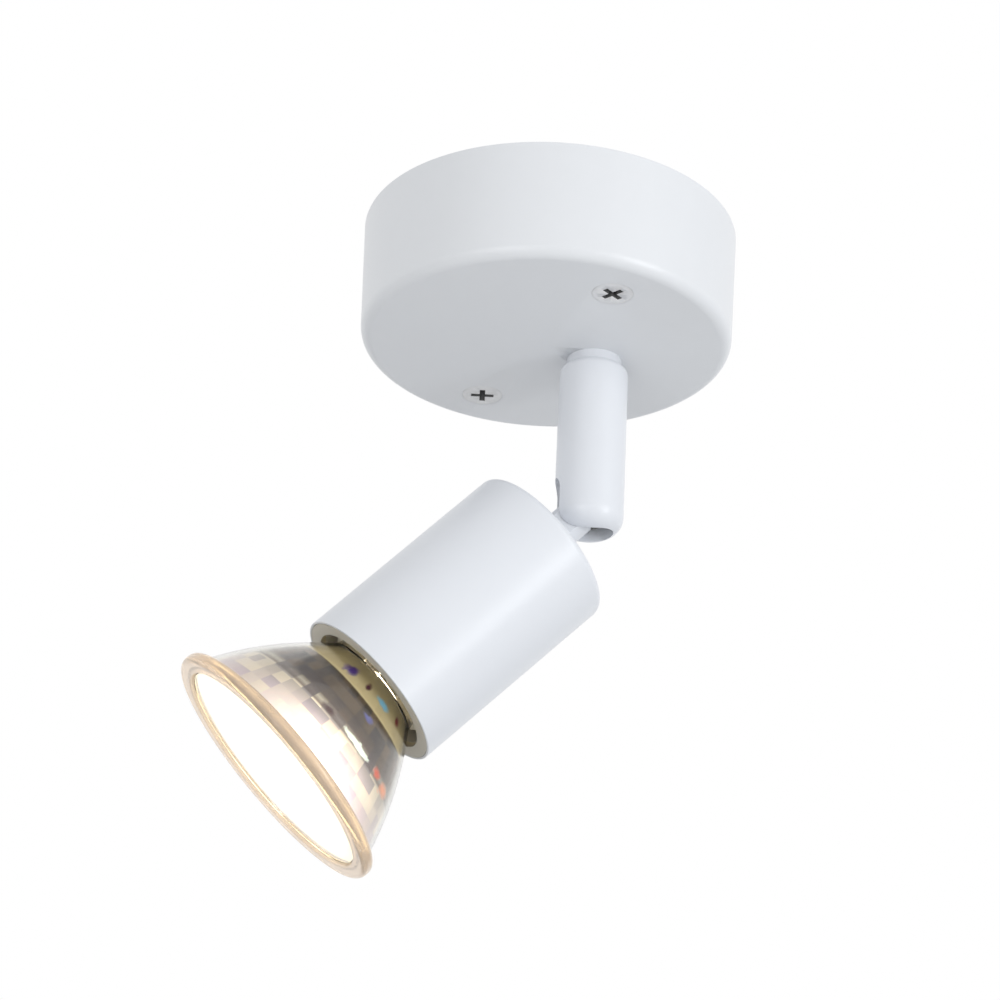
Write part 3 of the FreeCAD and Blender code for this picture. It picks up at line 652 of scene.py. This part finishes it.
# The bowl's curve: a circle through its start, a point half-way along, and the shoulder
first = Vector((flare_radius, flare_height))
second = Vector((bowl_radius, bowl_height))
third = Vector((shoulder_radius, shoulder_height))
chord, span = second - first, third - first
cross = 2 * (chord.x * span.y - chord.y * span.x)
bowl_middle = first + Vector((span.y * chord.length_squared - chord.y * span.length_squared,
                              chord.x * span.length_squared - span.x * chord.length_squared)) / cross
bowl_curve = (first - bowl_middle).length


def bowl_at(height, depth):
    """The bowl's radius at a height, at some depth below its outer face."""
    return bowl_middle.x + math.sqrt((bowl_curve - depth) ** 2 - (height - bowl_middle.y) ** 2)


def bowl_line(depth, start, end, steps=24):
    """The bowl's curve between two heights, at some depth."""
    heights = [start + (end - start) * step / steps for step in range(steps + 1)]
    return [Vector((bowl_at(height, depth), height)) for height in heights]


rim_bead = turned("rim_bead", rounded([
    (mouth_radius, shoulder_height), (rim_radius, shoulder_height, rim_round),
    (rim_radius, rim_height, rim_round), (mouth_radius, rim_height, mouth_round),
]), lamp_place, sides=192)
reflector_glass = turned(
    "reflector_glass",
    [Vector((neck_radius, neck_top)), Vector((neck_radius, neck_end))]
    + bowl_line(0, flare_height, shoulder_height)
    + bowl_line(glass_skin, shoulder_height, flare_height)
    + [Vector((neck_radius - glass_skin, neck_end)), Vector((neck_radius - glass_skin, neck_top))],
    lamp_place, sides=192)


def faceted_bowl(name, depth, thick, low, high):
    """A thin closed bowl whose outer face swells a little inside each facet."""
    rows = round((high - low) / facet_pitch) * facet_steps
    sides = facet_columns * facet_steps
    points = []
    for row in range(rows + 1):
        height = high + (low - high) * row / rows
        swell_down = math.sin(math.pi * (row % facet_steps) / facet_steps)
        for side in range(sides):
            swell = facet_bulge * swell_down * math.sin(math.pi * (side % facet_steps) / facet_steps)
            radius = bowl_at(height, depth) + swell - facet_bulge
            angle = 2 * math.pi * side / sides
            points.append((radius * math.cos(angle), radius * math.sin(angle), height))
    outer = len(points)
    for height in (low, high):
        points += ring_points(bowl_at(height, depth + thick), height, sides)
    last = rows * sides
    faces = []
    for row in range(rows):
        for side in range(sides):
            after = (side + 1) % sides
            a, b = row * sides, (row + 1) * sides
            faces.append([a + side, b + side, b + after, a + after])
    for side in range(sides):
        after = (side + 1) % sides
        faces.append([last + side, outer + side, outer + after, last + after])
        faces.append([outer + side, outer + sides + side, outer + sides + after, outer + after])
        faces.append([outer + sides + side, side, after, outer + sides + after])
    return new_piece(name, points, faces, lamp_place, sharp=4.0)


reflector_coating = faceted_bowl("reflector_coating", coating_depth, coating_thick,
                                 shoulder_height + coating_clear, flare_height)


def round_axis(tree):
    """The angle round the lamp's axis, and the height along it, of a place on a piece."""
    spot = tree_node(tree, "ShaderNodeSeparateXYZ")
    own = tree_node(tree, "ShaderNodeAttribute", attribute_name="own_place")
    feed(tree, spot.inputs[0], own.outputs["Vector"])
    return sum_node(tree, "ARCTAN2", spot.outputs["Y"], spot.outputs["X"]), spot.outputs["Z"]


def two_sides(tree, angle, sharpness):
    """1 on the two sides of the lamp that glow most, and 0 half-way between them."""
    across = sum_node(tree, "COSINE", sum_node(tree, "ADD", angle, glow_turn))
    return sum_node(tree, "POWER", sum_node(tree, "ABSOLUTE", across), sharpness)


def clamped(tree, value):
    """A value kept between 0 and 1."""
    node = tree_node(tree, "ShaderNodeClamp")
    feed(tree, node.inputs["Value"], value)
    return node.outputs[0]

# The coating seen from behind: golden near the neck, brown, then pale facets lit from inside
glow_turn = math.radians(65)
coating, given, made = effect("facet_coating", ("Columns", "Pitch", "Tint", "Glow"), colours=(),
                              colours_out=("Colour", "Light"), numbers_out=("Roughness",))
angle, along_axis = round_axis(coating)
station = sum_node(coating, "MULTIPLY_ADD", along_axis, -1 / mm, opening_height)
column = sum_node(coating, "MULTIPLY", angle, given["Columns"])
column = sum_node(coating, "FLOOR", sum_node(coating, "DIVIDE", column, 2 * math.pi))
row = sum_node(coating, "FLOOR", sum_node(coating, "DIVIDE", station, given["Pitch"]))
cell = tree_node(coating, "ShaderNodeCombineXYZ")
feed(coating, cell.inputs[0], column)
feed(coating, cell.inputs[1], row)
chance = tree_node(coating, "ShaderNodeTexWhiteNoise", noise_dimensions="2D")
feed(coating, chance.inputs["Vector"], cell.outputs[0])
chance = chance.outputs["Value"]


def station_ramp(name, *stops):
    """A colour that changes along the reflector; stops are mm before the head's mouth."""
    ramp = tree_node(coating, "ShaderNodeValToRGB", label=name)
    reach = opening_height - rim_height
    coating.links.new(sum_node(coating, "DIVIDE", station, reach), ramp.inputs["Fac"])
    while len(ramp.color_ramp.elements) < len(stops):
        ramp.color_ramp.elements.new(0.5)
    for element, (place, colour) in zip(ramp.color_ramp.elements, stops):
        element.position = place / reach
        element.color = colour + (1.0,)
    return ramp.outputs["Color"]


warm = station_ramp(
    "warm", (0, (0.55, 0.46, 0.25)), (4.5, (0.60, 0.50, 0.28)), (4.9, (0.75, 0.65, 0.35)),
    (5.2, (0.15, 0.10, 0.05)), (10.8, (0.13, 0.09, 0.055)), (11.8, (0.42, 0.38, 0.30)),
    (12.6, (0.16, 0.12, 0.09)), (13.0, (0.62, 0.55, 0.42)), (20.0, (0.66, 0.58, 0.47)))
cool = station_ramp(
    "cool", (0, (0.50, 0.42, 0.24)), (4.9, (0.70, 0.60, 0.34)), (5.2, (0.02, 0.016, 0.012)),
    (10.8, (0.08, 0.065, 0.065)), (12.6, (0.10, 0.08, 0.08)), (13.0, (0.20, 0.17, 0.17)),
    (20.0, (0.55, 0.46, 0.50)))
colour = mixed(coating, sum_node(coating, "MULTIPLY", chance, given["Tint"]), warm, cool)

# The painted reflections break up along the facets and in the moulded glass, and fade towards their edges
ripple_swing = 2.2
ripple_start = -0.2
spot_fade = -1.6
spot_strength = 1.1
ripple = noise_node(coating, scale=700.0, detail=2.0)
ripple = sum_node(coating, "MULTIPLY_ADD", ripple, ripple_swing, ripple_start)
ripple = sum_node(coating, "MULTIPLY", ripple, sum_node(coating, "ADD", chance, 0.5))


def painted_reflection_spot(under, tint, at, reach, place, depth):
    """A soft painted reflection of one colour over the others: middle and reach in degrees and in mm."""
    around = sum_node(coating, "SUBTRACT", angle, math.radians(at))
    around = sum_node(coating, "DIVIDE", around, math.radians(reach))
    along = sum_node(coating, "DIVIDE", sum_node(coating, "SUBTRACT", station, place), depth)
    far = sum_node(coating, "ADD", sum_node(coating, "MULTIPLY", around, around),
                   sum_node(coating, "MULTIPLY", along, along))
    broken = sum_node(coating, "MULTIPLY", far, ripple)
    near = clamped(coating, sum_node(coating, "MULTIPLY_ADD", broken, spot_fade, spot_strength))
    return mixed(coating, near, under, tint + (1.0,))


# Painted reflections, in both colour and glow: streaks of dispersed light in purple, cyan, red, blue, white
# and orange, and some dark spots
colour = painted_reflection_spot(colour, (0.10, 0.05, 0.30), -94, 8, 2.8, 1.4)
colour = painted_reflection_spot(colour, (0.30, 0.70, 0.95), -57, 13, 2.4, 0.8)
colour = painted_reflection_spot(colour, (0.22, 0.02, 0.03), -35, 5, 1.9, 1.0)
colour = painted_reflection_spot(colour, (0.10, 0.02, 0.05), -75, 4, 2.7, 0.9)
colour = painted_reflection_spot(colour, (0.12, 0.13, 0.42), -60, 5, 6.9, 0.7)
colour = painted_reflection_spot(colour, (0.06, 0.03, 0.03), -79, 7, 12.1, 0.9)
colour = painted_reflection_spot(colour, (0.85, 0.95, 0.86), -54, 15, 12.0, 0.7)
colour = painted_reflection_spot(colour, (0.55, 0.08, 0.03), -33, 6, 11.7, 0.9)
colour = painted_reflection_spot(colour, (0.75, 0.26, 0.10), -20, 9, 12.2, 1.2)
feed(coating, made["Colour"], colour)

# Two sides glow most, and only beyond the brown band
lobe_sharpness = 6.0
lobe_glow = 0.9
even_glow = 0.1
glow_start = 9.0         # mm before the head's mouth
glow_rise = 7.0
least_glow = 0.12
facet_roughness = 0.14
facet_spread = 0.12      # of the roughness, from facet to facet
lobe = sum_node(coating, "MULTIPLY_ADD", two_sides(coating, angle, lobe_sharpness), lobe_glow, even_glow)
beyond = sum_node(coating, "DIVIDE", sum_node(coating, "SUBTRACT", station, glow_start), glow_rise)
power = sum_node(coating, "MULTIPLY", lobe, clamped(coating, beyond))
power = sum_node(coating, "ADD", sum_node(coating, "MULTIPLY", power, given["Glow"]), least_glow)
feed(coating, made["Light"], scaled(coating, colour, power))
feed(coating, made["Roughness"], sum_node(coating, "MULTIPLY_ADD", chance, facet_spread, facet_roughness))

mirror, tree, shader = new_material("mirror_coating")
shader.inputs["Specular IOR Level"].default_value = 0.15
shader.inputs["Emission Strength"].default_value = 1.0
look = tree_node(tree, "ShaderNodeGroup", node_tree=coating)
for label, value in (("Columns", facet_columns), ("Pitch", facet_pitch), ("Tint", 1.0), ("Glow", 2.4)):
    look.inputs[label].default_value = value
for label, socket in (("Colour", "Base Color"), ("Light", "Emission Color"), ("Roughness", "Roughness")):
    tree.links.new(look.outputs[label], shader.inputs[socket])

lamp_glass = surface("lamp_glass", (0.99, 0.975, 0.94), moulded, {"Drift": 0.01, "Gloss": 0.03},
                     relief=0.004, Transmission_Weight=1.0, IOR=1.47)
done(reflector_glass, "lamp", lamp_glass, "lamp_glass", "lamp_reflector")
done(reflector_coating, "lamp", mirror, "lamp_glass", "lamp_reflector")

# Its inner face, bright with the capsule's light
inner_sharpness = 1.5
facing_in = -0.1
inner_glow, given, made = effect("inner_glow", ("Least", "Most"), colours=("Tint",),
                                 colours_out=("Light",), numbers_out=())
angle, along_axis = round_axis(inner_glow)
across = two_sides(inner_glow, angle, inner_sharpness)
power = sum_node(inner_glow, "MULTIPLY_ADD", across, given["Most"], given["Least"])
feed(inner_glow, made["Light"], scaled(inner_glow, given["Tint"], power))
lit = surface("lit_coating", (0.9, 0.86, 0.72), worn_metal, {"Wear": 0.3, "Gloss": 0.2}, Metallic=0.5,
              Emission_Strength=1.0)
tree = lit.node_tree
look = tree_node(tree, "ShaderNodeGroup", node_tree=inner_glow)
look.inputs["Tint"].default_value = (1.0, 0.84, 0.52, 1)
look.inputs["Least"].default_value = 0.45
look.inputs["Most"].default_value = 2.2
tree.links.new(look.outputs["Light"], tree.nodes["Principled BSDF"].inputs["Emission Color"])
reflector_coating.data.materials.append(lit)
to_lamp = lamp_place.inverted()
for face in reflector_coating.data.polygons:
    middle = to_lamp @ face.center
    outward = Vector((middle.x, middle.y, 0)).normalized()
    face.material_index = 1 if outward.dot(to_lamp.to_3x3() @ face.normal) < facing_in else 0
# The bead's faint warm emission is a painted glow, the capsule's light in its glass
bead_glass_painted_glow = surface("bead_glass_painted_glow", (0.88, 0.74, 0.60), moulded, {"Drift": 0.9, "Gloss": 0.12},
                     Transmission_Weight=0.7, IOR=1.47, Emission_Color=(1.0, 0.80, 0.55, 1.0),
                     Emission_Strength=0.06)
done(rim_bead, "lamp", bead_glass_painted_glow, "lamp_glass", "lamp_reflector")

# The front glass sits in a step behind the bead
front_glass_radius = 21.7
front_glass_round = 0.3
front_glass_front = rim_height + 0.6
front_glass_back = rim_height + 2.2
front_glass = turned("front_glass_disc", rounded([
    (0, front_glass_front), (front_glass_radius, front_glass_front, front_glass_round),
    (front_glass_radius, front_glass_back, front_glass_round), (0, front_glass_back),
]), lamp_place, sides=160, sharp=4.0)
clear_glass = surface("clear_glass", (0.995, 0.995, 0.99), moulded, {"Drift": 0.005, "Gloss": 0.02},
                      relief=0.002, Transmission_Weight=1.0, IOR=1.47)
done(front_glass, "lamp", clear_glass, "clear_glass", "front_glass")

# The capsule, round at its free end, and the coiled tungsten wire in it on two legs
capsule_radius = 4.5
capsule_wall = 0.8
capsule_length = 22.0
capsule_steps = 12       # in the quarter round of its end
capsule_end = neck_top - capsule_length


def quartz_end(radius):
    """The capsule's round end at some radius, from its side to its axis."""
    middle = capsule_end + capsule_radius
    angles = [step * math.pi / 2 / capsule_steps for step in range(capsule_steps)]
    return [(radius * math.cos(angle), middle - radius * math.sin(angle)) for angle in angles] + [
        (0, middle - radius)]


capsule_inside = capsule_radius - capsule_wall
quartz = turned("quartz_capsule", [(0, neck_top), (capsule_radius, neck_top)] + quartz_end(capsule_radius)
                + quartz_end(capsule_inside)[::-1]
                + [(capsule_inside, neck_top - capsule_wall), (0, neck_top - capsule_wall)],
                lamp_place, sides=48)
done(quartz, "lamp", clear_glass, "clear_glass", "capsule")


def swept(name, path, radius, place, sides=8):
    """A round wire along a path of points in mm."""
    points = []
    faces = []
    side = Vector((1, 0, 0))
    for index, here in enumerate(path):
        along = (path[min(index + 1, len(path) - 1)] - path[max(index - 1, 0)]).normalized()
        side = (side - along * side.dot(along)).normalized()
        other = along.cross(side)
        for step in range(sides):
            angle = 2 * math.pi * step / sides
            points.append(here + (side * math.cos(angle) + other * math.sin(angle)) * radius)
    for index in range(len(path) - 1):
        for step in range(sides):
            after = (step + 1) % sides
            a, b = index * sides, (index + 1) * sides
            faces.append([a + step, a + after, b + after, b + step])
    faces.append(list(range(sides))[::-1])
    faces.append([(len(path) - 1) * sides + step for step in range(sides)])
    return new_piece(name, points, faces, place, sharp=60.0)


coil_middle = (capsule_end + neck_top) / 2
coil_length = 6.0
coil_radius = 0.68
coil_turns = 11
turn_steps = 12
wire_radius = 0.12
leg_top = neck_top - capsule_wall
coil_steps = coil_turns * turn_steps
path = [Vector((0, -coil_length / 2, leg_top))]
for step in range(coil_steps + 1):
    turned_by = 2 * math.pi * step / turn_steps
    path.append(Vector((coil_radius * math.sin(turned_by), coil_length * (step / coil_steps - 0.5),
                        coil_middle + coil_radius * math.cos(turned_by))))
path.append(Vector((0, coil_length / 2, leg_top)))
filament = swept("coiled_filament", path, wire_radius, lamp_place)
tungsten = surface("tungsten", (0.55, 0.52, 0.48), worn_metal, {"Wear": 0.3, "Gloss": 0.4}, Metallic=1.0,
                   Emission_Color=(1.0, 0.84, 0.6, 1.0), Emission_Strength=5.0)
done(filament, "lamp", tungsten, "tungsten", "filament")
dress(zinc_steel, "lamp_pins", "capsule_wires")
